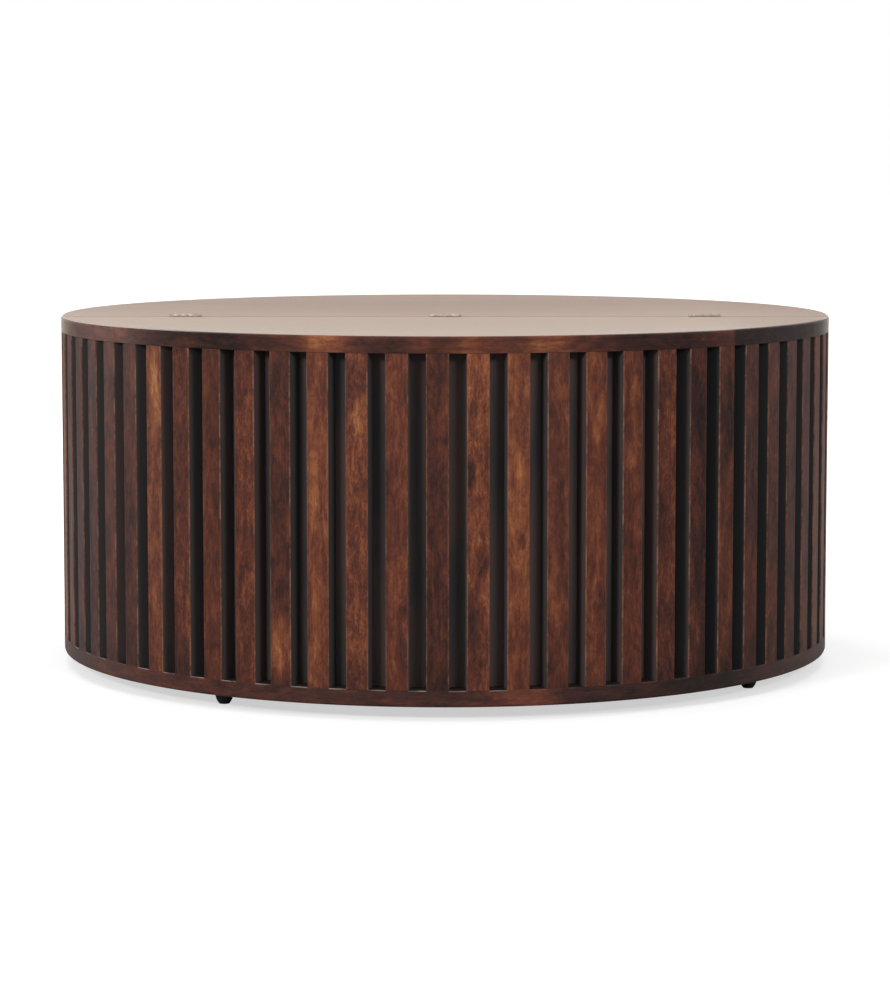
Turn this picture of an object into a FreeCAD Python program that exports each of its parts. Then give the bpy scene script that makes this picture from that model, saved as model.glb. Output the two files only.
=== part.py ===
import FreeCAD, Part
import math
import os

from FreeCAD import Vector

# Round drum table with a ring of upright slats and a hinged front lid.
# Millimetres and degrees. The origin is the centre of the drum on the floor,
# +Z is up, the front with the lid faces -Y and +X is to the right.
# Angles round the drum start at the front and grow towards +X.

# Whole table
table_diameter = 900.0
foot_height = 15.0
base_thickness = 18.0
slat_length = 355.0
top_thickness = 18.0

# Base ring of solid wood segments, and the floor that lies on it
base_ring_width = 60.0
base_ring_pieces = 6
base_joint_angle = 16.0
base_edge_radius = 2.0
floor_thickness = 12.0
floor_clearance = 0.3

# Drum wall of bent sheets behind the slats
wall_recess = 24.0
wall_thickness = 12.0
wall_pieces = 3

# Upright slats
slat_count = 66
slats_per_group = 3
slat_width = 24.0
slat_edge_chamfer = 1.0
first_slat_angle = -1.0

# Top of edge-glued boards, split by the seam into the lid and the fixed back
lid_depth = 370.0
lid_board_count = 4
back_board_count = 6
seam_gap = 1.0
seam_chamfer = 0.8
lid_rest_gap = 0.3
top_edge_radius = 2.5

# Rail under the seam, its end cleats and the glue blocks of the fixed back
rail_width = 32.0
rail_height = 50.0
rail_lip = 12.0
cleat_length = 45.0
cleat_width = 30.0
glue_block_width = 50.0
glue_block_depth = 25.0
glue_block_height = 30.0
glue_block_angles = (105.0, 150.0, 210.0, 255.0)
block_clearance = 0.1

# Butt hinges let into the two edges of the seam, their barrels sunk in a groove
hinge_end_inset = 143.0
hinge_axis_rise = 0.9
hinge_length = 36.0
centre_knuckle_length = 17.0
knuckle_gap = 0.3
barrel_radius = 2.5
barrel_clearance = 0.3
pin_radius = 1.2
pin_running_clearance = 0.05
pin_end_height = 0.5
leaf_thickness = 1.2
leaf_height = 13.0
mortise_clearance = 0.15

# Countersunk screws of the hinge leaves
leaf_screw_spacing = 20.0
leaf_screw_drop = 7.0
leaf_screw_radius = 1.3
leaf_screw_head_radius = 2.5
leaf_screw_length = 14.0
leaf_screw_point = 3.0
leaf_screw_point_radius = 0.4

# Feet and their screws
foot_inset = 35.0
first_foot_angle = -35.3
foot_names = ("front_left", "front_right", "back_right", "back_left")
foot_top_radius = 10.5
foot_bottom_radius = 6.0
foot_collar_height = 3.0
foot_waist_radius = 8.8
foot_waist_height = 5.0
foot_counterbore_radius = 4.2
foot_counterbore_depth = 5.0
foot_screw_radius = 2.0
foot_screw_head_radius = 3.8
foot_screw_head_height = 2.4
foot_screw_bite = 14.0
foot_screw_point = 4.0
foot_screw_point_radius = 0.6
screw_hole_clearance = 0.05

# Rounded edges are cut in flats and small turned pieces in sides, to keep the model light
edge_flats = 2
screw_sides = 8
foot_sides = 16

# One overrun serves every cut that has to pass right through a face
overrun = 2.0

# Heights and radii that follow from the sizes above
outer_radius = table_diameter / 2
base_top_z = foot_height + base_thickness
under_top_z = base_top_z + slat_length
table_top_z = under_top_z + top_thickness
wall_outer_radius = outer_radius - wall_recess
wall_inner_radius = wall_outer_radius - wall_thickness
slat_pitch_angle = 360 / slat_count
seam_y = lid_depth - outer_radius
lid_edge_y = seam_y - seam_gap / 2
back_edge_y = seam_y + seam_gap / 2
hinge_axis_z = table_top_z + hinge_axis_rise
half_seam = math.sqrt(outer_radius ** 2 - seam_y ** 2)
end_hinge_x = half_seam - hinge_end_inset
hinge_places = {"left": -end_hinge_x, "centre": 0.0, "right": end_hinge_x}
knuckle_bore_radius = pin_radius + pin_running_clearance

UP = Vector(0, 0, 1)
ORIGIN = Vector(0, 0, 0)


def polygon_face(points):
    """Flat face inside a closed run of straight edges."""
    return Part.Face(Part.makePolygon(list(points) + [points[0]]))


def turned(shape, angle):
    """The shape turned about the drum's axis, from the front towards +X."""
    copy = shape.copy()
    copy.rotate(ORIGIN, UP, angle)
    return copy


def revolved(face, start_angle, sweep):
    """A section drawn in the XZ plane, swept round the drum from a start angle."""
    from_front = turned(face, start_angle - 90)
    return from_front.revolve(ORIGIN, UP, sweep)


def upright_cylinder(radius, bottom_z, top_z, centre=ORIGIN):
    """Cylinder along Z between two heights."""
    base = Vector(centre.x, centre.y, bottom_z)
    return Part.makeCylinder(radius, top_z - bottom_z, base, UP)


def box_between(low, high):
    """Box from its lowest corner to its highest corner."""
    size = high.sub(low)
    return Part.makeBox(size.x, size.y, size.z, low)


def faceted_body(sections, sides):
    """Upright solid through even-sided sections, each a radius and a height."""
    rings = []
    for radius, height in sections:
        ring = []
        for index in range(sides):
            angle = math.radians((index + 0.5) * 360 / sides)
            ring.append(Vector(math.cos(angle) * radius, math.sin(angle) * radius, height))
        rings.append(ring)
    faces = [polygon_face(rings[0]), polygon_face(rings[-1])]
    for lower, upper in zip(rings, rings[1:]):
        for index in range(sides):
            after = (index + 1) % sides
            faces.append(polygon_face([lower[index], lower[after], upper[after], upper[index]]))
    return Part.Solid(Part.Shell(faces))


def rounded_edge(centre, radius, start_angle):
    """Points of a quarter round in the XZ plane, cut in flats and turning left."""
    points = []
    for index in range(edge_flats + 1):
        angle = math.radians(start_angle + index * 90 / edge_flats)
        points.append(centre.add(Vector(math.cos(angle), 0, math.sin(angle)) * radius))
    return points


def base_ring_section():
    """Section of the base ring, with its lower outer edge rounded."""
    inner = outer_radius - base_ring_width
    radius = base_edge_radius
    centre = Vector(outer_radius - radius, 0, foot_height + radius)
    return polygon_face(rounded_edge(centre, radius, -90) + [
        Vector(outer_radius, 0, base_top_z),
        Vector(inner, 0, base_top_z),
        Vector(inner, 0, foot_height),
    ])


def top_blank(bottom_z):
    """Disc of the whole top, rounded along its upper rim."""
    radius = top_edge_radius
    centre = Vector(outer_radius - radius, 0, table_top_z - radius)
    section = polygon_face(rounded_edge(centre, radius, 0) + [
        Vector(0, 0, table_top_z),
        Vector(0, 0, bottom_z),
        Vector(outer_radius, 0, bottom_z),
    ])
    return revolved(section, 0, 360)


def top_board(blank, bottom_z, front_y, back_y, eased_front=False, eased_back=False):
    """One board of the top, eased along its upper edge where it meets the seam."""
    front_ease = seam_chamfer if eased_front else 0
    back_ease = seam_chamfer if eased_back else 0
    points = [Vector(-outer_radius, front_y, bottom_z), Vector(-outer_radius, back_y, bottom_z)]
    if back_ease:
        points.append(Vector(-outer_radius, back_y, table_top_z - back_ease))
    points.append(Vector(-outer_radius, back_y - back_ease, table_top_z))
    points.append(Vector(-outer_radius, front_y + front_ease, table_top_z))
    if front_ease:
        points.append(Vector(-outer_radius, front_y, table_top_z - front_ease))
    strip = polygon_face(points).extrude(Vector(table_diameter, 0, 0))
    return blank.common(strip)


def in_board_edge(upright, head_y, inward, centre_x):
    """Lays an upright screw form down, its head at head_y and its point inward."""
    laid = upright.copy()
    laid.rotate(ORIGIN, Vector(1, 0, 0), -90 * inward)
    laid.translate(Vector(centre_x, head_y, table_top_z - leaf_screw_drop))
    return laid


def leaf_screw(head_y, inward, centre_x):
    """Countersunk screw that enters a board's edge at head_y and points inward."""
    upright = faceted_body([
        (leaf_screw_head_radius, 0),
        (leaf_screw_radius, leaf_thickness),
        (leaf_screw_radius, leaf_screw_length - leaf_screw_point),
        (leaf_screw_point_radius, leaf_screw_length),
    ], screw_sides)
    return in_board_edge(upright, head_y, inward, centre_x)


def leaf_screw_hole(head_y, inward, centre_x):
    """Countersunk room for a leaf screw, a hole clearance wider than the screw."""
    gap = screw_hole_clearance
    upright = faceted_body([
        (leaf_screw_head_radius + gap, 0),
        (leaf_screw_radius + gap, leaf_thickness),
        (leaf_screw_radius + gap, leaf_screw_length + gap),
    ], screw_sides)
    return in_board_edge(upright, head_y, inward, centre_x)


def screw_places(hinge_x):
    """The two places along a hinge where its leaves are screwed."""
    return [hinge_x - leaf_screw_spacing / 2, hinge_x + leaf_screw_spacing / 2]


def knuckle_spans(hinge_x, on_lid):
    """Stretches of the barrel that belong to the lid's leaf or to the fixed leaf."""
    inner = centre_knuckle_length / 2
    outer = hinge_length / 2
    if on_lid:
        return [(hinge_x - inner, hinge_x + inner)]
    edge = inner + knuckle_gap
    return [(hinge_x - outer, hinge_x - edge), (hinge_x + edge, hinge_x + outer)]


def barrel_cylinder(radius, start_x, end_x):
    """Cylinder along the hinge axis between two places."""
    base = Vector(start_x, seam_y, hinge_axis_z)
    return Part.makeCylinder(radius, end_x - start_x, base, Vector(1, 0, 0))


def hinge_leaf(hinge_x, on_lid):
    """One leaf with its knuckles, screw holes and bore."""
    inward = -1 if on_lid else 1
    face_y = lid_edge_y if on_lid else back_edge_y
    rear_y = face_y + inward * leaf_thickness
    low_y = min(face_y, rear_y)
    high_y = max(face_y, rear_y)
    left = hinge_x - hinge_length / 2
    right = hinge_x + hinge_length / 2
    bottom_z = table_top_z - leaf_height
    plate_top_z = hinge_axis_z - barrel_radius - knuckle_gap
    leaf = box_between(Vector(left, low_y, bottom_z), Vector(right, high_y, plate_top_z))
    for start_x, end_x in knuckle_spans(hinge_x, on_lid):
        neck = box_between(Vector(start_x, low_y, bottom_z), Vector(end_x, high_y, hinge_axis_z))
        leaf = leaf.fuse([neck, barrel_cylinder(barrel_radius, start_x, end_x)])
    leaf = leaf.cut(barrel_cylinder(knuckle_bore_radius, left - overrun, right + overrun))
    for centre_x in screw_places(hinge_x):
        leaf = leaf.cut(leaf_screw_hole(face_y, inward, centre_x))
    return leaf.removeSplitter()


def hinge_pin(hinge_x):
    """Pin through all knuckles, standing out a little at each end."""
    reach = hinge_length / 2 + pin_end_height
    return barrel_cylinder(pin_radius, hinge_x - reach, hinge_x + reach)


def with_hinge_mortises(board, on_lid):
    """The board beside the seam, cut for its leaves, their screws and the barrels."""
    inward = -1 if on_lid else 1
    edge_y = lid_edge_y if on_lid else back_edge_y
    low_y = min(edge_y - inward * overrun, edge_y + inward * leaf_thickness)
    high_y = max(edge_y - inward * overrun, edge_y + inward * leaf_thickness)
    half = hinge_length / 2 + mortise_clearance
    groove_half = hinge_length / 2 + pin_end_height + barrel_clearance
    groove_radius = barrel_radius + barrel_clearance
    bottom_z = table_top_z - leaf_height - mortise_clearance
    for hinge_x in hinge_places.values():
        low = Vector(hinge_x - half, low_y, bottom_z)
        high = Vector(hinge_x + half, high_y, table_top_z + overrun)
        groove = barrel_cylinder(groove_radius, hinge_x - groove_half, hinge_x + groove_half)
        board = board.cut([box_between(low, high), groove])
        for centre_x in screw_places(hinge_x):
            board = board.cut(leaf_screw_hole(edge_y, inward, centre_x))
    return board


def slat(angle):
    """Upright slat with eased outer edges, seated on the wall at an angle."""
    half = slat_width / 2
    ease = slat_edge_chamfer
    face = math.sqrt(outer_radius ** 2 - half ** 2)
    section = polygon_face([
        Vector(wall_outer_radius, -half, base_top_z),
        Vector(face - ease, -half, base_top_z),
        Vector(face, ease - half, base_top_z),
        Vector(face, half - ease, base_top_z),
        Vector(face - ease, half, base_top_z),
        Vector(wall_outer_radius, half, base_top_z),
    ])
    return turned(section.extrude(Vector(0, 0, slat_length)), angle - 90)


def glue_block(angle):
    """Block in the corner of the wall and the fixed back, fitted to the curve."""
    half = glue_block_width / 2
    low = Vector(wall_inner_radius - glue_block_depth, -half, under_top_z - glue_block_height)
    high = Vector(wall_inner_radius, half, under_top_z)
    block = turned(box_between(low, high), angle - 90)
    return block.common(upright_cylinder(wall_inner_radius - block_clearance, low.z, high.z))


def seam_rail():
    """Rail across the drum under the seam, with a lip for the lid to rest on."""
    low = Vector(-wall_inner_radius, seam_y - rail_lip, under_top_z - rail_height)
    high = Vector(wall_inner_radius, low.y + rail_width, under_top_z)
    reach = upright_cylinder(wall_inner_radius - block_clearance, low.z, high.z)
    return box_between(low, high).common(reach)


def rail_cleat(side):
    """Cleat behind one end of the rail, side is -1 on the left and 1 on the right."""
    rail_back_y = seam_y - rail_lip + rail_width
    end_x = math.sqrt(wall_inner_radius ** 2 - rail_back_y ** 2)
    near_x = side * (end_x - cleat_length)
    far_x = side * wall_inner_radius
    low = Vector(min(near_x, far_x), rail_back_y, under_top_z - rail_height)
    high = Vector(max(near_x, far_x), rail_back_y + cleat_width, under_top_z)
    reach = upright_cylinder(wall_inner_radius - block_clearance, low.z, high.z)
    return box_between(low, high).common(reach)


def foot_centres():
    """Centres of the feet on their circle, keyed by name."""
    centres = {}
    for index, name in enumerate(foot_names):
        angle = math.radians(first_foot_angle + index * 360 / len(foot_names))
        centres[name] = Vector(math.sin(angle), -math.cos(angle), 0) * (outer_radius - foot_inset)
    return centres


def foot_screw_bore():
    """Room for a foot screw through the foot and into the base ring."""
    radius = foot_screw_radius + screw_hole_clearance
    tip_z = foot_height + foot_screw_bite + screw_hole_clearance
    return faceted_body([(radius, -overrun), (radius, tip_z)], screw_sides)


def foot(centre):
    """Turned foot with a collar, a waisted taper and a counterbore from below."""
    solid = faceted_body([
        (foot_bottom_radius, 0),
        (foot_waist_radius, foot_waist_height),
        (foot_top_radius, foot_height - foot_collar_height),
        (foot_top_radius, foot_height),
    ], foot_sides)
    radius = foot_counterbore_radius
    counterbore = faceted_body([(radius, -overrun), (radius, foot_counterbore_depth)], screw_sides)
    solid = solid.cut([counterbore, foot_screw_bore()])
    solid.translate(centre)
    return solid


def foot_screw(centre):
    """Pan-head screw that holds a foot to the base ring."""
    seat = foot_counterbore_depth
    tip = foot_height + foot_screw_bite
    head_low = seat - foot_screw_head_height
    head = faceted_body([
        (foot_screw_radius, head_low),
        (foot_screw_head_radius, (head_low + seat) / 2),
        (foot_screw_head_radius, seat),
    ], screw_sides)
    shank = faceted_body([
        (foot_screw_radius, seat),
        (foot_screw_radius, tip - foot_screw_point),
        (foot_screw_point_radius, tip),
    ], screw_sides)
    screw = head.fuse(shank)
    screw.translate(centre)
    return screw


def base_ring_pieces_by_name():
    """Segments of the base ring, drilled for the foot screws."""
    sweep = 360 / base_ring_pieces
    holes = []
    for centre in foot_centres().values():
        hole = foot_screw_bore()
        hole.translate(centre)
        holes.append(hole)
    pieces = {}
    for index in range(base_ring_pieces):
        piece = revolved(base_ring_section(), base_joint_angle + index * sweep, sweep)
        pieces["base_ring_%d" % (index + 1)] = piece.cut(holes)
    return pieces


def wall_panels_by_name():
    """Bent sheets of the drum wall, butted behind slats."""
    sweep = 360 / wall_pieces
    section = polygon_face([
        Vector(wall_inner_radius, 0, base_top_z),
        Vector(wall_outer_radius, 0, base_top_z),
        Vector(wall_outer_radius, 0, under_top_z),
        Vector(wall_inner_radius, 0, under_top_z),
    ])
    panels = {}
    for index in range(wall_pieces):
        panel = revolved(section, first_slat_angle + index * sweep, sweep)
        panels["wall_panel_%d" % (index + 1)] = panel
    return panels


def slats_by_name():
    """The slats in groups that stand side by side, each slat its own solid."""
    slats = [slat(first_slat_angle + index * slat_pitch_angle) for index in range(slat_count)]
    groups = {}
    for start in range(0, slat_count, slats_per_group):
        group = slats[start:start + slats_per_group]
        groups["slats_%02d" % (start // slats_per_group + 1)] = Part.makeCompound(group)
    return groups


def top_boards_by_name():
    """Boards of the lid and of the fixed back, numbered from the front."""
    boards = {}
    lid_bottom_z = under_top_z + lid_rest_gap
    lid_blank = top_blank(lid_bottom_z)
    width = (lid_edge_y + outer_radius) / lid_board_count
    for index in range(lid_board_count):
        front_y = index * width - outer_radius
        last = index == lid_board_count - 1
        board = top_board(lid_blank, lid_bottom_z, front_y, front_y + width, eased_back=last)
        boards["lid_board_%d" % (index + 1)] = with_hinge_mortises(board, True) if last else board
    back_blank = top_blank(under_top_z)
    width = (outer_radius - back_edge_y) / back_board_count
    for index in range(back_board_count):
        front_y = back_edge_y + index * width
        first = index == 0
        board = top_board(back_blank, under_top_z, front_y, front_y + width, eased_front=first)
        boards["top_board_%d" % (index + 1)] = with_hinge_mortises(board, False) if first else board
    return boards


def hinges_by_name():
    """Leaves by place, and the pins and screws as groups of separate solids."""
    pieces = {}
    for place, hinge_x in hinge_places.items():
        pieces["hinge_leaf_lid_" + place] = hinge_leaf(hinge_x, True)
        pieces["hinge_leaf_fixed_" + place] = hinge_leaf(hinge_x, False)
    places = [x for hinge_x in hinge_places.values() for x in screw_places(hinge_x)]
    pieces["hinge_pins"] = Part.makeCompound([hinge_pin(x) for x in hinge_places.values()])
    pieces["lid_leaf_screws"] = Part.makeCompound([leaf_screw(lid_edge_y, -1, x) for x in places])
    pieces["fixed_leaf_screws"] = Part.makeCompound([leaf_screw(back_edge_y, 1, x) for x in places])
    return pieces


def feet_by_name():
    """Four feet and the group of their screws."""
    centres = foot_centres()
    pieces = {"foot_" + name: foot(centre) for name, centre in centres.items()}
    pieces["foot_screws"] = Part.makeCompound([foot_screw(c) for c in centres.values()])
    return pieces


def inner_pieces_by_name():
    """Floor, seam rail, cleats and glue blocks inside the drum."""
    floor_radius = wall_inner_radius - floor_clearance
    return {
        "floor_panel": upright_cylinder(floor_radius, base_top_z, base_top_z + floor_thickness),
        "seam_rail": seam_rail(),
        "rail_cleats": Part.makeCompound([rail_cleat(-1), rail_cleat(1)]),
        "glue_blocks": Part.makeCompound([glue_block(angle) for angle in glue_block_angles]),
    }


nodes = {}
nodes.update(feet_by_name())
nodes.update(base_ring_pieces_by_name())
nodes.update(wall_panels_by_name())
nodes.update(inner_pieces_by_name())
nodes.update(slats_by_name())
nodes.update(top_boards_by_name())
nodes.update(hinges_by_name())

os.makedirs("parts", exist_ok=True)
for name, shape in nodes.items():
    shape.exportStep("parts/%s.step" % name)
    print(name, len(shape.Solids), "solids, valid", shape.isValid())
print(len(nodes), "nodes, top at", table_top_z, "hinge axis at", seam_y, hinge_axis_z)
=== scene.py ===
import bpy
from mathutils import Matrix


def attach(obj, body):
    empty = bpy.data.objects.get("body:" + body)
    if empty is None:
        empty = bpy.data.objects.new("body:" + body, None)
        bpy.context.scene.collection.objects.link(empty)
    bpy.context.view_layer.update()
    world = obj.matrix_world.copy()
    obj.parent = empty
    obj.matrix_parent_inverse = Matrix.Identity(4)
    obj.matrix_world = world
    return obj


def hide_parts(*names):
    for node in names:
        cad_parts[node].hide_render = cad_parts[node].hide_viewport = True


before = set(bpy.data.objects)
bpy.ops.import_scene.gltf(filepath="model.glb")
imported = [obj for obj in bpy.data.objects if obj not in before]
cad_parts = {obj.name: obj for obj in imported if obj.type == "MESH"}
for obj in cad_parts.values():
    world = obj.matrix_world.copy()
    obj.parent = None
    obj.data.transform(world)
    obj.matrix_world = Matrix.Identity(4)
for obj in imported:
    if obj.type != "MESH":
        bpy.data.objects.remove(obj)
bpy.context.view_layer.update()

import math
import bmesh
import bpy
from mathutils import Matrix, Vector

# Sizes, places and names that the looks share with the solids, in metres and radians
outer_radius = 0.450
wall_outer_radius = 0.426
slat_count = 66
first_slat_angle = math.radians(-1.0)
slat_pitch = 2 * math.pi / slat_count
slat_width = 0.024
half_slat = slat_width / 2
slat_foot_z = 0.033
top_z = 0.406
lid_board_count = 4
lid_board_depth = 0.0924
lid_front_y = -0.450
lid_back_y = -0.0805
back_board_count = 6
back_board_depth = 0.08825
back_front_y = -0.0795
seam_y = -0.080
base_piece_count = 6
base_joint_angle = math.radians(16.0)
hinge_places = (-0.2998, 0.0, 0.2998)
leaf_screw_spacing = 0.020
leaf_screw_z = 0.399
foot_circle_radius = 0.415
first_foot_angle = math.radians(-35.3)
foot_names = ("front_left", "front_right", "back_right", "back_left")

# The darker stretch of the top's rim, on the right: its middle and how far it reaches either way
dark_rim_angle = math.radians(86.0)
dark_rim_reach = math.radians(42.5)
dark_rim_fade = 0.02
dark_rim_roughness = 0.55
pale_rim_roughness = 0.38
pale_rim_rise = 0.35

# Linear wood colours, from the darkest stain to worn, bright wood
stain_tones = (
    (0.00, (0.016, 0.009, 0.008)),
    (0.22, (0.046, 0.018, 0.014)),
    (0.42, (0.098, 0.030, 0.019)),
    (0.58, (0.168, 0.053, 0.026)),
    (0.76, (0.285, 0.104, 0.042)),
    (1.00, (0.520, 0.260, 0.110)),
)

# Mean places of the woods in those tones
slat_level = 0.425
top_level = 0.44
base_level = 0.22
wall_inside_level = 0.44
floor_level = 0.50
rail_level = 0.46
cleat_level = 0.48
block_level = 0.50

# Seeds of the slats' own random numbers, and of the base ring's grain and pieces
slat_shift_seed = 31.7
slat_lean_seed = 3.1
slat_fleck_seed = 23.9
slat_tone_seed = 7.3
slat_flank_seed = 51.4
base_grain_seed = 17.0
base_piece_seed = 11.2

# Heights of the relief in the surfaces, in metres
slat_relief = 0.0006
wood_relief = 0.0004
metal_relief = 0.0001
grit_relief = 0.0002

# Where a look begins and is full, in metres inside an edge: the slats' rubbed sides with their painted
# highlight, the rim of the top, the chips and painted highlight of the ledge and the brown inside of the
# wall
slat_wear_and_highlight = (0.0020, 0.0008)
rim_start = (0.0030, 0.0010)
ledge_wear_and_highlight = (0.0016, 0.0004)
wall_inside_start = (0.002, 0.004)

# Other places where looks change: metres from the seam, X in metres, angles to the right in radians,
# heights and half a width in metres, then shares of a board's depth and of a patch's reach
seam_reach = 0.30
right_end = (0.28, 0.44)
# Angles over which the slats' flanks turn to a darker painted shade on the right
shaded_right_flanks = (0.58, 0.72)
# Angles over which the ledge's chips and painted highlight fade to the right
chipped_and_highlit_front = (-0.05, 0.35)
# Height over which the slats grow darker towards their foot
slat_foot_darkening_height = 0.05
scuff_height = 0.003
gap_blend = 0.001
board_joint_shares = (0.002, 0.006)
patch_core_share = 0.3

# Linear colours beside the stain tones
# Slats' rubbed sides and arrises: wear, and a painted highlight on the arrises
rubbed_and_highlit_face = (0.28, 0.14, 0.08)
rubbed_and_highlit_edge = (0.25, 0.125, 0.080)
flank_black = (0.058, 0.052, 0.052)
flank_brown = (0.080, 0.058, 0.053)
# Painted shade: the flanks on the right side darker
flank_right_shaded = (0.036, 0.035, 0.035)
board_joint = (0.03, 0.014, 0.010)
# Ledge's outer edge in the gaps: chips, and a painted highlight
ledge_chipped_and_highlit = (0.30, 0.24, 0.21)
# Painted shade: the ledge's top, dark where it lies in shade
ledge_painted_shade = (0.020, 0.017, 0.016)
wall_black = (0.046, 0.043, 0.043)
wall_brown = (0.088, 0.060, 0.055)
hinge_dark = (0.26, 0.21, 0.17)
hinge_bright = (0.52, 0.44, 0.37)
screw_dark = (0.07, 0.06, 0.05)
screw_bright = (0.40, 0.36, 0.30)
foot_black = (0.010, 0.009, 0.009)
foot_grey = (0.045, 0.040, 0.038)
slat_sheen_tint = (1.0, 0.84, 0.66)
top_sheen_tint = (1.0, 0.90, 0.76)
white = (1.0, 1.0, 1.0)

# Changes of tone, each with the slats that have it, counted to the right from the one at the front
slat_changes = (
    (0.08, (-8, 1, 2)),
    (0.03, (-3, -2, 4)),
    (-0.03, (3, 8, 10)),
    (-0.06, (-1, 9)),
    (-0.08, (-7, -6, -5)),
    (-0.12, (-13, -12, -11, -10, -9, 11)),
    (-0.17, (-4, 0, 7)),
)

# Blotches in the stain, and painted highlights and painted shade where marked: angle, height, half width in
# degrees, half height in metres, change of tone
slat_blotches_and_shade = (
    # Painted shade: the whole right side of the slats darker
    (58.0, 0.200, 45.0, 0.900, -0.08),
    (-44.2, 0.34, 1.6, 0.060, 0.16),
    (-22.8, 0.070, 2.6, 0.055, 0.34),
    (-22.4, 0.30, 1.4, 0.050, 0.10),
    (-17.4, 0.20, 2.0, 0.160, 0.08),
    (-12.4, 0.360, 2.4, 0.028, -0.16),
    (-11.4, 0.318, 1.8, 0.022, 0.14),
    (-6.0, 0.090, 1.8, 0.080, 0.07),
    (3.4, 0.262, 1.0, 0.022, -0.26),
    (3.8, 0.330, 0.9, 0.016, -0.16),
    (4.4, 0.350, 2.6, 0.090, 0.10),
    (5.0, 0.168, 1.2, 0.020, -0.22),
    (4.2, 0.090, 2.2, 0.070, -0.18),
    (-1.0, 0.080, 2.6, 0.110, -0.13),
    (20.6, 0.340, 2.4, 0.090, 0.08),
    (31.4, 0.200, 2.2, 0.070, -0.12),
    (31.9, 0.300, 1.2, 0.050, 0.08),
    (42.6, 0.310, 2.6, 0.080, -0.11),
    (10.4, 0.190, 0.8, 0.012, -0.20),
    (15.0, 0.125, 2.0, 0.050, 0.16),
    (15.8, 0.052, 2.0, 0.030, 0.08),
    (26.0, 0.250, 1.8, 0.060, 0.08),
    (37.0, 0.320, 2.5, 0.060, -0.10),
    (36.6, 0.080, 2.0, 0.050, 0.10),
    (42.6, 0.100, 2.5, 0.100, 0.06),
    (-38.8, 0.150, 2.2, 0.090, 0.07),
)
rim_blotches_and_highlights = (
    (-56.0, 0.397, 9.0, 0.3, 0.10),
    (-36.0, 0.397, 17.0, 0.3, -0.26),
    (-38.5, 0.392, 4.0, 0.012, 0.16),
    # Painted highlight of the left key lamp on the rim
    (-16.2, 0.400, 4.6, 0.030, 0.24),
    (-8.0, 0.390, 5.0, 0.020, -0.14),
    (2.8, 0.397, 4.5, 0.020, 0.13),
    # Painted highlight of the right key lamp on the rim
    (14.0, 0.400, 3.8, 0.030, 0.17),
    (31.0, 0.397, 14.0, 0.3, -0.24),
)
base_blotches_and_highlights = (
    # Painted highlight of the lamps on the base ring
    (10.5, 0.024, 5.5, 0.030, 0.26),
    (-2.0, 0.024, 6.0, 0.030, -0.05),
    (24.0, 0.024, 8.0, 0.2, -0.07),
    (40.0, 0.024, 12.0, 0.2, -0.17),
    (-20.0, 0.024, 14.0, 0.2, 0.02),
    (-52.0, 0.024, 14.0, 0.2, 0.10),
)

# Profiles spun round an axis: radii and heights, in metres
foot_profile = (
    (0.0, 0.0050),
    (0.0042, 0.0050),
    (0.0042, 0.0004),
    (0.0044, 0.0001),
    (0.0047, 0.0000),
    (0.0052, 0.0000),
    (0.0057, 0.0002),
    (0.0061, 0.0007),
    (0.0083, 0.0042),
    (0.0088, 0.0052),
    (0.0102, 0.0112),
    (0.0105, 0.0123),
    (0.0105, 0.0145),
    (0.0104, 0.0148),
    (0.0101, 0.0150),
    (0.0, 0.0150),
)
foot_screw_profile = (
    (0.0028, 0.0),
    (0.0036, -0.0006),
    (0.0038, -0.0012),
    (0.0038, -0.0024),
    (0.0, -0.0024),
)
leaf_screw_profile = (
    (0.0024, 0.0),
    (0.0013, -0.0012),
    (0.0013, -0.011),
    (0.0, -0.014),
)

# Screw heads: radius of the face, then the cross recess's arm, half width and depth, in metres
foot_screw_head = (0.0028, 0.0018, 0.0004, 0.0012)
leaf_screw_head = (0.0024, 0.0014, 0.0003, 0.0007)
foot_screw_face_z = 0.0026
recess_taper = 0.75
leaf_screw_turn = 0.4
foot_sides = 64
screw_sides = 48
weld_distance = 0.00001

# Lamps: azimuth from the front to the right, elevation, distance, width, height and power
lamps = (
    ("key_left", -33.0, 21.0, 3.2, 0.8, 0.4, 42.0),
    ("key_right", 28.0, 21.0, 3.2, 0.8, 0.4, 28.0),
    ("side_left", -105.0, 8.0, 3.0, 1.2, 0.8, 13.0),
    ("side_right", 105.0, 8.0, 3.0, 1.2, 0.8, 6.0),
    ("overhead", 0.0, 88.0, 2.6, 2.2, 2.2, 26.0),
    ("back_left", -150.0, 30.0, 3.4, 1.2, 0.8, 30.0),
    ("back_right", 155.0, 30.0, 3.4, 1.2, 0.8, 20.0),
)
lamp_aim = Vector((0.0, 0.0, 0.2))
ambient_level = 0.38

# The floor: half its side, its colour as light on the table and as camera and gloss see it, and the
# distances over which its glow for the camera rises, with the glow near the table
floor_reach = 30.0
floor_lit = (0.30, 0.30, 0.30)
floor_seen = (0.55, 0.55, 0.55)
glow_start = 0.7
glow_end = 2.4
glow_near = 0.58

# The camera: focal length and the frame's long side in pixels, distances in metres, pitch in
# radians and shift as a share of that side
camera_focal_px = 3178.5
frame_long_side_px = 1000
camera_distance = 3.7503
camera_above_top = 0.205
camera_pitch = 0.09773
camera_shift = -0.05


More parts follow.
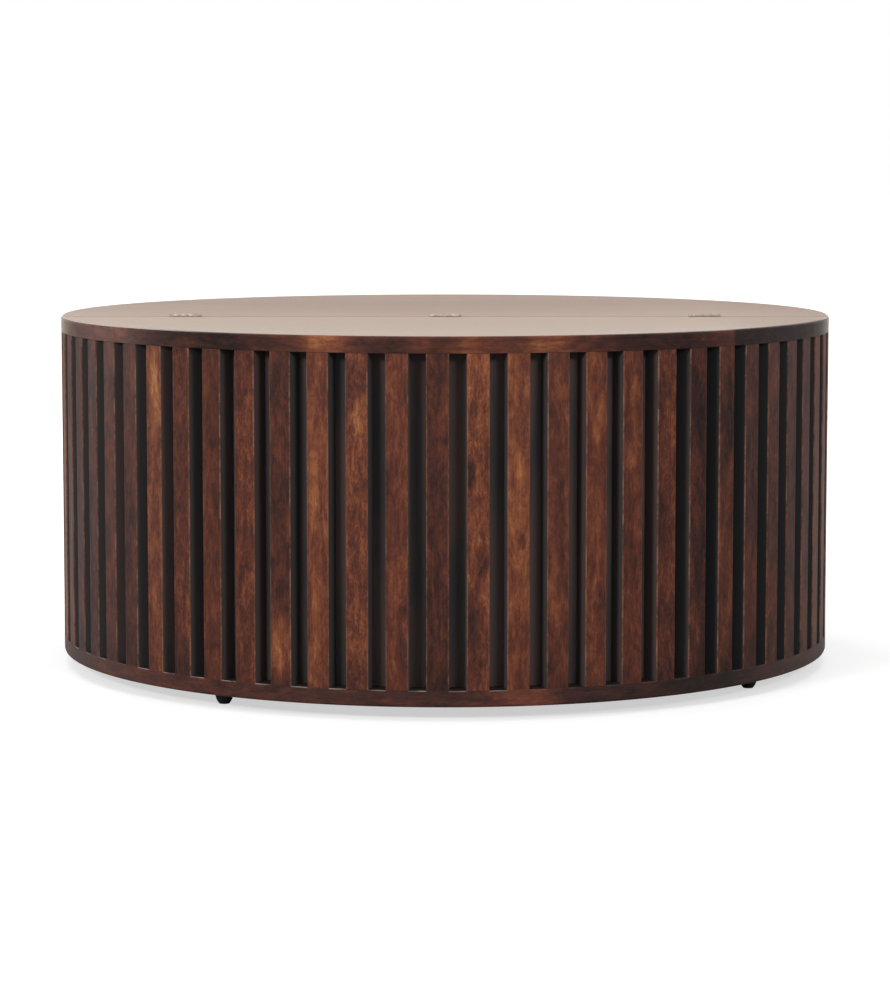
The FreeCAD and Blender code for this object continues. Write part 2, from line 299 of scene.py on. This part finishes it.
class Nodes:
    """A node tree, with short calls for the nodes used most."""

    def __init__(self, tree):
        self.tree = tree
        self.tree.nodes.clear()

    def put(self, node, key, value):
        """Links a socket to the node's input, or sets the input to a plain value."""
        socket = node.inputs[key]
        if isinstance(value, bpy.types.NodeSocket):
            self.tree.links.new(value, socket)
        elif isinstance(value, tuple) and socket.type == "RGBA":
            socket.default_value = (*value, 1.0)
        else:
            socket.default_value = value

    def add(self, kind, *values, **named):
        """A new node, with its inputs by place or name and its settings by name."""
        node = self.tree.nodes.new(kind)
        for key, value in named.items():
            if key in node.inputs.keys():
                self.put(node, key, value)
            else:
                setattr(node, key, value)
        for place, value in enumerate(values):
            self.put(node, place, value)
        return node

    def math(self, operation, *values):
        return self.add("ShaderNodeMath", *values, operation=operation).outputs[0]

    def total(self, *values):
        result = values[0]
        for value in values[1:]:
            result = self.math("ADD", result, value)
        return result

    def times(self, value, factor):
        return self.math("MULTIPLY", value, factor)

    def less(self, value, other):
        return self.math("SUBTRACT", value, other)

    def linear(self, value, slope, start):
        return self.math("MULTIPLY_ADD", value, slope, start)

    def distance(self, value, other):
        return self.math("ABSOLUTE", self.less(value, other))

    def swing(self, value, reach):
        """A noise value turned into a change of up to half of reach either way."""
        return self.times(self.less(value, 0.5), reach)

    def blend(self, factor, first, second):
        return self.total(first, self.times(self.less(second, first), factor))

    def length(self, x, y):
        vector = self.add("ShaderNodeCombineXYZ", x, y).outputs[0]
        return self.add("ShaderNodeVectorMath", vector, operation="LENGTH").outputs["Value"]

    def split(self, vector):
        return self.add("ShaderNodeSeparateXYZ", vector).outputs

    def angle(self, x, y):
        """The angle round the drum, from the front to the right."""
        return self.math("ARCTAN2", x, self.times(y, -1.0))

    def noise(self, x, y, z, detail=3.0, roughness=0.5, distortion=0.0):
        vector = self.add("ShaderNodeCombineXYZ", x, y, z).outputs[0]
        settings = {"Scale": 1.0, "Detail": detail, "Roughness": roughness, "Distortion": distortion}
        return self.add("ShaderNodeTexNoise", Vector=vector, **settings).outputs["Fac"]

    def scaled_noise(self, axes, scales, **settings):
        x, y, z = (self.times(axis, scale) for axis, scale in zip(axes, scales))
        return self.noise(x, y, z, **settings)

    def random(self, number):
        return self.add("ShaderNodeTexWhiteNoise", noise_dimensions="1D", W=number).outputs["Value"]

    def step(self, value, low, high, to_low=0.0, to_high=1.0):
        """A smooth step of value from low to high, put between to_low and to_high."""
        node = self.add("ShaderNodeMapRange", interpolation_type="SMOOTHSTEP")
        for place, entry in enumerate((value, low, high, to_low, to_high)):
            self.put(node, place, entry)
        return node.outputs["Result"]

    def ramp(self, factor, tones):
        """The colour at factor, between tones that are each a place and a colour."""
        node = self.add("ShaderNodeValToRGB", Fac=factor)
        elements = node.color_ramp.elements
        while len(elements) < len(tones):
            elements.new(0.5)
        for element, (place, colour) in zip(elements, tones):
            element.position = place
            element.color = (*colour, 1.0)
        return node.outputs["Color"]

    def mix(self, factor, first, second):
        """The colour between first and second, by place, since the node repeats its inputs' names."""
        node = self.add("ShaderNodeMix", data_type="RGBA")
        for place, value in ((0, factor), (6, first), (7, second)):
            self.put(node, place, value)
        return node.outputs[2]

    def bump(self, height, distance, strength):
        settings = {"Height": height, "Distance": distance, "Strength": strength}
        return self.add("ShaderNodeBump", **settings).outputs["Normal"]


class Shader(Nodes):
    """A material's nodes, with one surface and the object's own coordinates."""

    sockets = {
        "color": "Base Color",
        "roughness": "Roughness",
        "metallic": "Metallic",
        "normal": "Normal",
        "specular": "Specular IOR Level",
        "sheen": "Sheen Weight",
        "sheen_roughness": "Sheen Roughness",
        "sheen_tint": "Sheen Tint",
        "glow_color": "Emission Color",
        "glow": "Emission Strength",
    }

    def __init__(self, name):
        self.material = bpy.data.materials.new(name)
        self.material.use_nodes = True
        super().__init__(self.material.node_tree)
        self.surface = self.add("ShaderNodeBsdfPrincipled")
        self.add("ShaderNodeOutputMaterial", Surface=self.surface.outputs[0])
        coordinates = self.add("ShaderNodeTexCoord")
        self.position = coordinates.outputs["Object"]
        self.normal = coordinates.outputs["Normal"]

    def finish(self, **settings):
        """Sets the surface's inputs and returns the material."""
        for key, value in settings.items():
            self.put(self.surface, self.sockets[key], value)
        return self.material


def tone_patches_at(s, angle, height, patches):
    """The sum of soft patches of tone, stain blotches and painted highlights and shade, each an angle,
    height, half width, half height and change of tone.
    """
    result = 0.0
    for place, level, wide, tall, change in patches:
        x = s.times(s.less(angle, math.radians(place)), 1 / math.radians(wide))
        z = s.times(s.less(height, level), 1 / tall)
        result = s.total(s.step(s.length(x, z), patch_core_share, 1.0, change, 0.0), result)
    return result


def slat_turn(s, angle):
    """The place round the drum, in slats to the right of the front one."""
    return s.times(s.less(angle, first_slat_angle), 1 / slat_pitch)


def slat_wood():
    """Streaky, flecked slats, each in its own tone, with dark flanks, and rubbed edges that carry a painted
    highlight; the right side and its flanks are painted darker as shade.
    """
    s = Shader("slat_wood_stained")
    x, y, z = s.split(s.position)
    angle = s.angle(x, y)
    radius = s.length(x, y)
    turn = slat_turn(s, angle)
    index = s.math("ROUND", turn)
    across = s.times(s.less(turn, index), slat_pitch * outer_radius)

    def own(seed):
        return s.random(s.total(index, seed))

    shift = s.times(own(slat_shift_seed), 5.0)
    lean = s.swing(own(slat_lean_seed), 0.06)
    line = s.total(across, s.times(z, lean), shift)

    def grain(fine, tall, **settings):
        return s.scaled_noise((line, radius, z), (fine, fine, tall), **settings)

    streaks = grain(420.0, 22.0, detail=4.0, roughness=0.65, distortion=0.4)
    flecks = grain(270.0, 110.0, detail=4.0, roughness=0.70, distortion=1.4)
    fleck_share = s.step(own(slat_fleck_seed), 0.0, 1.0, 0.45, 1.0)
    pores = grain(800.0, 130.0, detail=2.0)
    clouds = grain(55.0, 14.0, detail=3.0, roughness=0.55, distortion=0.8)
    figure = grain(95.0, 42.0, detail=3.0, roughness=0.60, distortion=1.2)

    own_change = 0.0
    for change, slats in slat_changes:
        for slat in slats:
            is_slat = s.math("COMPARE", index, float(slat), 0.4)
            own_change = s.total(s.times(is_slat, change), own_change)
    tone = s.total(
        s.swing(own(slat_tone_seed), 0.08),
        s.swing(clouds, 0.70),
        s.swing(streaks, 0.34),
        s.swing(figure, 0.58),
        s.times(s.swing(flecks, 0.80), fleck_share),
        s.step(pores, 0.28, 0.38, -0.16, 0.0),
        # Slats darker towards their foot
        s.step(z, slat_foot_z, slat_foot_z + slat_foot_darkening_height, -0.05, 0.0),
        own_change,
        tone_patches_at(s, angle, z, slat_blotches_and_shade),
        slat_level,
    )
    color = s.ramp(tone, stain_tones)

    normal_x, normal_y = s.split(s.normal)[:2]
    out_x = s.math("DIVIDE", x, radius)
    out_y = s.math("DIVIDE", y, radius)
    turned_away = s.distance(s.times(out_y, normal_x), s.times(out_x, normal_y))
    flank = s.step(turned_away, 0.86, 0.97)
    edge = s.math("COMPARE", turned_away, 0.70, 0.16)
    # Rubbed sides and arrises: wear, with a painted highlight on them
    wear_and_highlight_noise = s.noise(shift, 0.0, s.times(z, 40.0), detail=5.0, roughness=0.75)
    worn = s.step(wear_and_highlight_noise, 0.42, 0.66, 0.10, 0.75)
    wear_start, wear_end = (half_slat - inset for inset in slat_wear_and_highlight)
    rubbed_and_highlit = s.step(s.math("ABSOLUTE", across), wear_start, wear_end, 0.0, 0.25)
    color = s.mix(s.times(rubbed_and_highlit, worn), color, rubbed_and_highlit_face)
    color = s.mix(s.times(edge, worn), color, rubbed_and_highlit_edge)
    browned = s.step(s.total(s.swing(own(slat_flank_seed), 0.5), clouds), 0.45, 0.75)
    flank_color = s.mix(browned, flank_black, flank_brown)
    # Painted shade: the flanks on the right side darker
    flank_color = s.mix(s.step(angle, *shaded_right_flanks), flank_color, flank_right_shaded)
    color = s.mix(flank, color, flank_color)

    height = s.total(s.times(streaks, 0.5), s.times(flecks, 0.4), s.times(pores, 0.4))
    return s.finish(
        color=color,
        roughness=s.total(s.times(streaks, 0.10), s.times(flank, 0.25), 0.38),
        specular=0.09,
        sheen=0.09,
        sheen_roughness=0.25,
        sheen_tint=slat_sheen_tint,
        normal=s.bump(height, slat_relief, 0.40),
    )


def round_edge(s, x, y, z, patches, seed):
    """Angle, tone and streaks of a round edge whose grain runs round the drum."""
    angle = s.angle(x, y)
    along = s.times(angle, outer_radius)

    def grain(long, fine, offset, **settings):
        return s.noise(s.times(along, long), seed + offset, s.times(z, fine), **settings)

    streaks = grain(26.0, 320.0, 0.0, detail=5.0, roughness=0.65, distortion=0.8)
    clouds = grain(24.0, 75.0, 4.0, detail=3.0, roughness=0.60, distortion=1.2)
    flecks = grain(120.0, 330.0, 8.0, detail=4.0, roughness=0.70, distortion=0.8)
    tone = s.total(
        s.swing(streaks, 0.34),
        s.swing(clouds, 0.62),
        s.swing(flecks, 0.46),
        tone_patches_at(s, angle, z, patches),
    )
    return angle, tone, streaks


def top_wood(name, boards, seed, sheen, roughness, right_roughness):
    """Boards along the seam, each in its own tone, and their stained round edge.

    boards is their count, their depth and where the first begins. roughness is that at the seam
    and far from it, and right_roughness is added towards the right end.
    """
    count, depth, front_y = boards
    s = Shader(name)
    x, y, z = s.split(s.position)
    place = s.times(s.less(y, front_y), 1 / depth)
    board = s.math("FLOOR", s.math("MINIMUM", s.math("MAXIMUM", place, 0.0), count - 0.5))
    shift = s.times(s.random(s.total(board, seed)), 9.0)

    def grain(long, fine, **settings):
        return s.noise(s.linear(x, long, shift), s.times(y, fine), s.times(z, fine), **settings)

    streaks = grain(9.0, 230.0, detail=5.0, roughness=0.65, distortion=0.9)
    ring_places = grain(2.2, 26.0, detail=2.0, roughness=0.5, distortion=0.4)
    rings = s.math("SINE", s.times(ring_places, 85.0))
    clouds = grain(5.0, 14.0, detail=3.0, roughness=0.55, distortion=0.5)
    flecks = grain(70.0, 330.0, detail=3.0, roughness=0.65, distortion=0.6)
    pores = grain(60.0, 800.0, detail=2.0)
    tone = s.total(
        s.swing(s.random(s.total(board, seed + 0.5)), 0.13),
        s.swing(streaks, 0.30),
        s.times(rings, 0.032),
        s.swing(clouds, 0.28),
        s.swing(flecks, 0.40),
        s.step(pores, 0.27, 0.36, -0.14, 0.0),
        top_level,
    )
    angle, rim_tone, rim_streaks = round_edge(s, x, y, z, rim_blotches_and_highlights, seed)
    on_rim = s.step(s.length(x, y), *(outer_radius - inset for inset in rim_start))
    from_dark_rim = s.distance(angle, dark_rim_angle)
    pale_rim = s.step(from_dark_rim, dark_rim_reach - dark_rim_fade, dark_rim_reach)
    rim_tone = s.total(rim_tone, s.times(pale_rim, pale_rim_rise))
    color = s.ramp(s.blend(on_rim, tone, rim_tone), stain_tones)
    from_joint = s.distance(place, s.math("ROUND", place))
    color = s.mix(s.step(from_joint, *board_joint_shares, 0.5, 0.0), color, board_joint)

    face_roughness = s.total(
        s.step(s.distance(y, seam_y), 0.0, seam_reach, *roughness),
        s.step(x, *right_end, 0.0, right_roughness),
    )
    face_roughness = s.linear(streaks, 0.08, face_roughness)
    rim_roughness = s.blend(pale_rim, dark_rim_roughness, pale_rim_roughness)
    height = s.blend(on_rim, s.total(s.times(streaks, 0.6), s.times(pores, 0.4)), rim_streaks)
    return s.finish(
        color=color,
        roughness=s.blend(on_rim, face_roughness, rim_roughness),
        specular=0.10,
        sheen=sheen,
        sheen_roughness=0.20,
        sheen_tint=top_sheen_tint,
        normal=s.bump(height, wood_relief, 0.25),
    )


def base_wood():
    """Base ring of solid pieces whose tones differ, with painted highlights, its ledge painted dark as
    shade, and a chipped edge with a painted highlight between the slats.
    """
    s = Shader("base_wood_stained")
    x, y, z = s.split(s.position)
    angle, tone, streaks = round_edge(s, x, y, z, base_blotches_and_highlights, base_grain_seed)
    piece_turn = s.times(s.less(angle, base_joint_angle), base_piece_count / (2 * math.pi))
    piece = s.math("FLOOR", piece_turn)
    tone = s.total(tone, s.swing(s.random(s.total(piece, base_piece_seed)), 0.08), base_level)
    color = s.ramp(tone, stain_tones)

    turn = slat_turn(s, angle)
    across = s.times(s.distance(turn, s.math("ROUND", turn)), slat_pitch * outer_radius)
    in_gap = s.step(across, half_slat - gap_blend, half_slat + gap_blend)
    shaded_ledge = s.step(s.split(s.normal)[2], 0.80, 0.95)
    # The ledge's outer edge in the gaps: chips with a painted highlight, fading to the right
    ledge_edge = s.step(z, *(slat_foot_z - inset for inset in ledge_wear_and_highlight))
    chips = s.step(streaks, 0.42, 0.58, 0.1, 0.9)
    chipped_and_highlit = s.times(chips, s.step(angle, *chipped_and_highlit_front, 1.0, 0.15))
    color = s.mix(s.times(s.times(in_gap, ledge_edge), chipped_and_highlit), color, ledge_chipped_and_highlit)
    # Painted shade: the ledge's top faces dark
    color = s.mix(shaded_ledge, color, ledge_painted_shade)
    rough = s.linear(streaks, 0.12, 0.38)
    return s.finish(color=color, roughness=rough, specular=0.16, normal=s.bump(streaks, wood_relief, 0.3))


def wall_sheet():
    """Drum wall: dark between the slats, brown on the inside."""
    s = Shader("wall_sheet_stained")
    x, y, z = s.split(s.position)
    along = s.times(s.angle(x, y), wall_outer_radius)

    def grain(fine, offset, tall, **settings):
        return s.noise(s.times(along, fine), offset, s.times(z, tall), **settings)

    streaks = grain(300.0, 0.0, 9.0, detail=5.0, roughness=0.6, distortion=0.5)
    clouds = grain(22.0, 3.0, 5.0, detail=3.0, roughness=0.5, distortion=0.4)
    outside = s.mix(s.step(clouds, 0.38, 0.62), wall_black, wall_brown)
    inside_tone = s.total(s.swing(streaks, 0.4), s.swing(clouds, 0.4), wall_inside_level)
    inside = s.step(s.length(x, y), *(wall_outer_radius - inset for inset in wall_inside_start))
    color = s.mix(inside, outside, s.ramp(inside_tone, stain_tones))
    rough = s.linear(streaks, 0.2, 0.50)
    return s.finish(color=color, roughness=rough, specular=0.16, normal=s.bump(streaks, wood_relief, 0.3))


def plain_wood(name, level, seed, upright=False):
    """Stained wood of the inner pieces, with its grain along X, or along Z where upright."""
    s = Shader(name)
    x, y, z = s.split(s.position)
    if upright:
        x, z = z, x

    def grain(long, fine, **settings):
        return s.noise(s.linear(x, long, seed), s.times(y, fine), s.times(z, fine), **settings)

    streaks = grain(9.0, 210.0, detail=5.0, roughness=0.6, distortion=0.8)
    clouds = grain(4.0, 16.0, detail=3.0, roughness=0.55, distortion=0.5)
    pores = grain(50.0, 700.0, detail=2.0)
    pore_change = s.step(pores, 0.27, 0.36, -0.12, 0.0)
    tone = s.total(s.swing(streaks, 0.36), s.swing(clouds, 0.34), pore_change, level)
    color = s.ramp(tone, stain_tones)
    rough = s.linear(streaks, 0.15, 0.42)
    height = s.total(streaks, s.times(pores, 0.5))
    return s.finish(color=color, roughness=rough, specular=0.30, normal=s.bump(height, wood_relief, 0.3))


def metal(name, dark, bright, roughness):
    """Darkened metal with rubbed, brighter places and fine scratches."""
    s = Shader(name)
    axes = tuple(s.split(s.position))
    clouds = s.scaled_noise(axes, (260.0, 260.0, 260.0), detail=4.0, roughness=0.6)
    scratches = s.scaled_noise(axes, (300.0, 4000.0, 4000.0), detail=3.0, roughness=0.6)
    worn = s.total(s.step(clouds, 0.42, 0.68, 0.0, 0.8), s.swing(scratches, 0.3))
    color = s.mix(worn, dark, bright)
    rough = s.linear(clouds, 0.2, roughness)
    return s.finish(color=color, roughness=rough, metallic=1.0, normal=s.bump(scratches, metal_relief, 0.3))


def foot_plastic():
    """Black moulded plastic with a fine grit, scuffed grey at the floor."""
    s = Shader("foot_plastic_moulded")
    x, y, z = s.split(s.position)
    grit = s.scaled_noise((x, y, z), (2500.0, 2500.0, 2500.0), detail=2.0)
    scuffs = s.scaled_noise((x, y, z), (300.0, 300.0, 500.0), detail=3.0, roughness=0.6)
    worn = s.times(s.step(z, scuff_height, 0.0), s.step(scuffs, 0.4, 0.7))
    color = s.mix(s.linear(scuffs, 0.3, worn), foot_black, foot_grey)
    rough = s.linear(scuffs, 0.2, 0.42)
    return s.finish(color=color, roughness=rough, specular=0.40, normal=s.bump(grit, grit_relief, 0.3))


def dress_nodes():
    """Gives each CAD node that stays in view its material."""
    lid_wood = top_wood(
        "lid_wood_stained",
        boards=(lid_board_count, lid_board_depth, lid_front_y),
        seed=2.0,
        sheen=0.93,
        roughness=(0.62, 0.39),
        right_roughness=0.38,
    )
    back_wood = top_wood(
        "top_wood_stained",
        boards=(back_board_count, back_board_depth, back_front_y),
        seed=5.0,
        sheen=0.61,
        roughness=(0.42, 0.58),
        right_roughness=0.12,
    )
    looks = {
        "lid_board": lid_wood,
        "top_board": back_wood,
        "slats": slat_wood(),
        "base_ring": base_wood(),
        "wall_panel": wall_sheet(),
        "floor_panel": plain_wood("floor_sheet_stained", floor_level, 3.0),
        "seam_rail": plain_wood("rail_wood_stained", rail_level, 8.0),
        "rail_cleats": plain_wood("cleat_wood_stained", cleat_level, 12.0, upright=True),
        "glue_blocks": plain_wood("block_wood_stained", block_level, 16.0, upright=True),
        "hinge_": metal("hinge_metal_antique", hinge_dark, hinge_bright, 0.50),
    }
    for name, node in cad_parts.items():
        for start, material in looks.items():
            if name.startswith(start):
                node.material_slots[0].material = material


def new_piece(name, bm, material, sharp_angle=30.0):
    """A mesh object from bm, smooth but for edges sharper than sharp_angle degrees."""
    mesh = bpy.data.meshes.new(name)
    bmesh.ops.recalc_face_normals(bm, faces=bm.faces)
    bm.to_mesh(mesh)
    bm.free()
    mesh.shade_smooth()
    mesh.set_sharp_from_angle(angle=math.radians(sharp_angle))
    mesh.materials.append(material)
    piece = bpy.data.objects.new(name, mesh)
    bpy.context.scene.collection.objects.link(piece)
    return piece


def circle(radius, sides, height):
    """Points round a circle about Z."""
    turns = [2 * math.pi * side / sides for side in range(sides)]
    return [Vector((radius * math.cos(turn), radius * math.sin(turn), height)) for turn in turns]


def spin_profile(bm, profile, sides, place):
    """Adds the shape that profile, radii and heights, sweeps round the axis of place."""
    rings = []
    for radius, height in profile:
        points = circle(radius, sides, height) if radius else [Vector((0.0, 0.0, height))]
        rings.append([bm.verts.new(place @ point) for point in points])
    for low, high in zip(rings, rings[1:]):
        for side in range(sides):
            after = (side + 1) % sides
            corners = (
                low[side % len(low)],
                low[after % len(low)],
                high[after % len(high)],
                high[side % len(high)],
            )
            bm.faces.new(list(dict.fromkeys(corners)))


def recessed_head(bm, head, place):
    """Adds a flat screw head's face with a cross recess, at the origin of place."""
    radius, arm, half, depth = head
    cross = (
        (arm, -half), (arm, half), (half, half), (half, arm),
        (-half, arm), (-half, half), (-arm, half), (-arm, -half),
        (-half, -half), (-half, -arm), (half, -arm), (half, -half),
    )
    rim = [bm.verts.new(place @ point) for point in circle(radius, screw_sides, 0.0)]
    top = [bm.verts.new(place @ Vector((x, y, 0.0))) for x, y in cross]
    low = []
    for x, y in cross:
        low.append(bm.verts.new(place @ Vector((x * recess_taper, y * recess_taper, -depth))))
    edges = []
    for loop in (rim, top):
        for first, second in zip(loop, loop[1:] + loop[:1]):
            edges.append(bm.edges.new((first, second)))
    bmesh.ops.triangle_fill(bm, use_beauty=True, edges=edges)
    for corner in range(len(top)):
        after = (corner + 1) % len(top)
        bm.faces.new((top[corner], top[after], low[after], low[corner]))
    bm.faces.new(low)


def add_feet(steel):
    """Turned feet, each with a recessed screw head in its underside."""
    material = foot_plastic()
    heads = bmesh.new()
    for index, name in enumerate(foot_names):
        turn = first_foot_angle + index * 2 * math.pi / len(foot_names)
        centre = Vector((math.sin(turn), -math.cos(turn), 0.0)) * foot_circle_radius
        bm = bmesh.new()
        spin_profile(bm, foot_profile, foot_sides, Matrix.Translation(centre))
        foot = new_piece(f"turned_foot_{name}", bm, material)
        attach(foot, "drum")
        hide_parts(f"foot_{name}")
        face = centre + Vector((0.0, 0.0, foot_screw_face_z))
        seat = Matrix.Translation(face) @ Matrix.Rotation(math.pi, 4, "X")
        recessed_head(heads, foot_screw_head, seat)
        spin_profile(heads, foot_screw_profile, screw_sides, seat)
    bmesh.ops.remove_doubles(heads, verts=heads.verts, dist=weld_distance)
    screws = new_piece("foot_screw_heads", heads, steel)
    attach(screws, "drum")
    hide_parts("foot_screws")


def add_leaf_screws(steel):
    """The hinge leaves' screws, with their heads facing each other across the seam.

    Each screw of a leaf has its cross turned its own way.
    """
    for name, body, face_y, tilt in (
        ("lid_leaf_screws", "lid", lid_back_y, -math.pi / 2),
        ("fixed_leaf_screws", "drum", back_front_y, math.pi / 2),
    ):
        bm = bmesh.new()
        for hinge_x in hinge_places:
            for side in (-0.5, 0.5):
                centre = Vector((hinge_x + side * leaf_screw_spacing, face_y, leaf_screw_z))
                facing = Matrix.Rotation(tilt, 4, "X")
                cross_turn = Matrix.Rotation(leaf_screw_turn + side, 4, "Z")
                seat = Matrix.Translation(centre) @ facing @ cross_turn
                recessed_head(bm, leaf_screw_head, seat)
                spin_profile(bm, leaf_screw_profile, screw_sides, seat)
        bmesh.ops.remove_doubles(bm, verts=bm.verts, dist=weld_distance)
        screws = new_piece(f"cross_{name}", bm, steel)
        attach(screws, body)
        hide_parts(name)


def add_floor():
    """White floor that keeps the shadow, and fades to white away from the table."""
    mesh = bpy.data.meshes.new("floor")
    near, far = -floor_reach, floor_reach
    corners = [(near, near, 0.0), (far, near, 0.0), (far, far, 0.0), (near, far, 0.0)]
    mesh.from_pydata(corners, [], [(0, 1, 2, 3)])
    floor = bpy.data.objects.new("floor", mesh)
    bpy.context.scene.collection.objects.link(floor)
    s = Shader("floor_white")
    path = s.add("ShaderNodeLightPath").outputs
    seen = s.math("MAXIMUM", path["Is Camera Ray"], path["Is Glossy Ray"])
    x, y = s.split(s.position)[:2]
    glow = s.step(s.length(x, y), glow_start, glow_end, glow_near, 1.0)
    s.finish(
        color=s.mix(seen, floor_lit, floor_seen),
        roughness=1.0,
        specular=0.0,
        glow_color=white,
        glow=s.times(path["Is Camera Ray"], glow),
    )
    mesh.materials.append(s.material)


def add_world():
    """Surroundings white for camera, gloss and glass, and dimmer as light on the table."""
    world = bpy.data.worlds.new("studio")
    bpy.context.scene.world = world
    world.use_nodes = True
    nodes = Nodes(world.node_tree)
    path = nodes.add("ShaderNodeLightPath").outputs
    seen = nodes.math("MAXIMUM", path["Is Camera Ray"], path["Is Glossy Ray"])
    seen = nodes.math("MAXIMUM", seen, path["Is Transmission Ray"])
    strength = nodes.add("ShaderNodeMapRange", seen, 0.0, 1.0, ambient_level, 1.0).outputs["Result"]
    background = nodes.add("ShaderNodeBackground", Color=white, Strength=strength)
    nodes.add("ShaderNodeOutputWorld", Surface=background.outputs[0])


def add_lamps():
    """Soft rectangular lamps, all turned to the middle of the table."""
    for name, azimuth, elevation, distance, wide, tall, power in lamps:
        turn = math.radians(azimuth)
        rise = math.radians(elevation)
        flat = math.cos(rise)
        away = Vector((math.sin(turn) * flat, -math.cos(turn) * flat, math.sin(rise)))
        data = bpy.data.lights.new(name, "AREA")
        data.shape = "RECTANGLE"
        data.size = wide
        data.size_y = tall
        data.energy = power
        lamp = bpy.data.objects.new(name, data)
        lamp.location = lamp_aim + away * distance
        lamp.rotation_euler = away.to_track_quat("Z", "Y").to_euler()
        bpy.context.scene.collection.objects.link(lamp)


def add_camera():
    """The camera of the main view, in front of the table and a little above its top."""
    data = bpy.data.cameras.new("camera")
    data.lens = camera_focal_px / frame_long_side_px * data.sensor_width
    data.shift_y = camera_shift
    camera = bpy.data.objects.new("camera", data)
    camera.location = (0.0, -camera_distance, top_z + camera_above_top)
    camera.rotation_euler = (math.pi / 2 - camera_pitch, 0.0, 0.0)
    bpy.context.scene.collection.objects.link(camera)
    bpy.context.scene.camera = camera


dress_nodes()
screw_steel = metal("screw_steel_bronzed", screw_dark, screw_bright, 0.3)
add_feet(screw_steel)
add_leaf_screws(screw_steel)
add_floor()
add_world()
add_lamps()
add_camera()
bpy.context.scene.view_settings.view_transform = "Standard"
